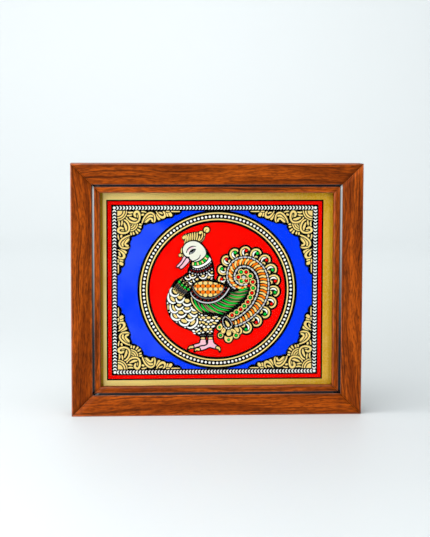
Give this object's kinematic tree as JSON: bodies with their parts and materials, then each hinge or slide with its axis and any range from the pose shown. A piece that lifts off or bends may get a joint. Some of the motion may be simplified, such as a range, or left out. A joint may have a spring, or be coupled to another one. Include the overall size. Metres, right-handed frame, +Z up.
{
  "type": "framed reverse glass painting",
  "caption": "Small picture painted in bright colours on the back of a pane of glass, in a mitred wooden frame with a dark groove round its opening.",
  "frame": {"origin": "middle of the floor area that the standing frame covers, on the underside of its bottom rail", "axes": "+X to the picture's right as it is seen, +Y from the picture to the back, +Z up"},
  "size_m": [0.1906, 0.0224, 0.1651],
  "materials": {
    "frame_wood": "satin lacquer on reddish-brown wood",
    "clear_glass": "clear polished sheet glass",
    "glass_paint": "opaque enamel on a gold ground, seen through the glass",
    "hardboard": "bare brown hardboard",
    "steel": "bright zinc"
  },
  "bodies": {
    "root": {"bottom_rail": "frame_wood", "left_stile": "frame_wood", "top_rail": "frame_wood", "right_stile": "frame_wood", "bottom_rail_point_1": "steel", "bottom_rail_point_2": "steel", "left_stile_point": "steel", "top_rail_point_1": "steel", "top_rail_point_2": "steel", "right_stile_point": "steel", "glass_pane": "clear_glass", "paint_layer": "glass_paint", "backing_board": "hardboard", "hanging_strip": "steel", "hanging_strip_nail_left": "steel", "hanging_strip_nail_right": "steel"}
  },
  "joints": []
}
